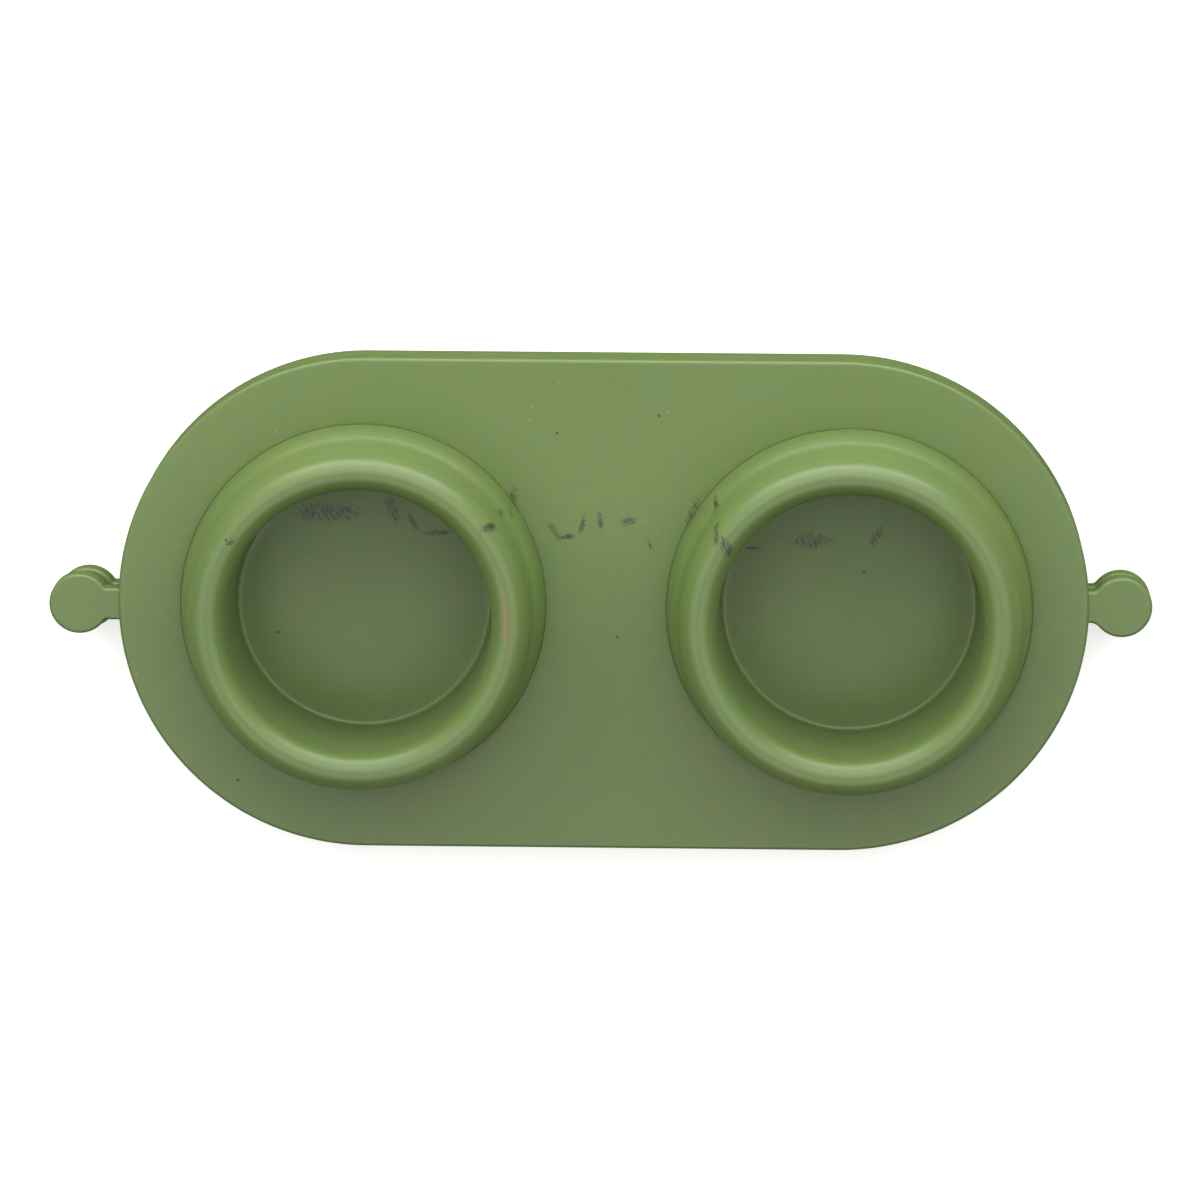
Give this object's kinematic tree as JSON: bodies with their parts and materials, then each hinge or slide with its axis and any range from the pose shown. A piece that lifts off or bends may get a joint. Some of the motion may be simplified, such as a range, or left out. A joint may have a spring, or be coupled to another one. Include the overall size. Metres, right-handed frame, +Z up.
{
  "type": "folding twin paw washer cup",
  "caption": "Flat stadium-shaped silicone tray with folding round cups side by side, closed by a peel-off back cover with a round pull tab at each end of both layers.",
  "frame": {"origin": "middle of the cover's flat outer face, which the folded object lies on", "axes": "+X along the length from the left cup to the right cup, +Y across the width, +Z up out of the folded cups"},
  "size_m": [0.2856, 0.128, 0.0464],
  "materials": {
    "tray_silicone": "moulded silicone, fine matte",
    "cover_silicone": "moulded silicone, fine matte"
  },
  "bodies": {
    "cover": {"back_cover": "cover_silicone"},
    "tray": {"cup_tray": "tray_silicone", "left_outer_wall": "tray_silicone", "left_fold_crown": "tray_silicone", "left_inner_wall": "tray_silicone", "right_outer_wall": "tray_silicone", "right_fold_crown": "tray_silicone", "right_inner_wall": "tray_silicone"},
    "left_cup_base": {"left_cup_floor": "tray_silicone"},
    "right_cup_base": {"right_cup_floor": "tray_silicone"},
    "left_front_pull": {"left_front_tab": "tray_silicone"},
    "right_front_pull": {"right_front_tab": "tray_silicone"},
    "left_rear_pull": {"left_rear_tab": "cover_silicone"},
    "right_rear_pull": {"right_rear_tab": "cover_silicone"}
  },
  "joints": [
    {"name": "cover_peel", "type": "slide", "parent": "cover", "child": "tray", "axis": [0, 0, 1], "range_m": [0, 0.06]},
    {"name": "left_cup_pop", "type": "slide", "parent": "tray", "child": "left_cup_base", "axis": [0, 0, 1], "range_m": [0, 0.077], "deforming": ["left_inner_wall"]},
    {"name": "right_cup_pop", "type": "slide", "parent": "tray", "child": "right_cup_base", "axis": [0, 0, 1], "range_m": [0, 0.077], "deforming": ["right_inner_wall"]},
    {"name": "left_front_tab_bend", "type": "hinge", "parent": "tray", "child": "left_front_pull", "pos_m": [-0.12835, 0, 0.0114], "axis": [0, 1, 0], "range_deg": [0, 70], "stiffness_Nm_per_rad": 0.02},
    {"name": "right_front_tab_bend", "type": "hinge", "parent": "tray", "child": "right_front_pull", "pos_m": [0.12835, 0, 0.0114], "axis": [0, -1, 0], "range_deg": [0, 70], "stiffness_Nm_per_rad": 0.02},
    {"name": "left_rear_tab_bend", "type": "hinge", "parent": "cover", "child": "left_rear_pull", "pos_m": [-0.12835, 0, 0.0038], "axis": [0, -1, 0], "range_deg": [0, 70], "stiffness_Nm_per_rad": 0.02},
    {"name": "right_rear_tab_bend", "type": "hinge", "parent": "cover", "child": "right_rear_pull", "pos_m": [0.12835, 0, 0.0038], "axis": [0, 1, 0], "range_deg": [0, 70], "stiffness_Nm_per_rad": 0.02}
  ]
}
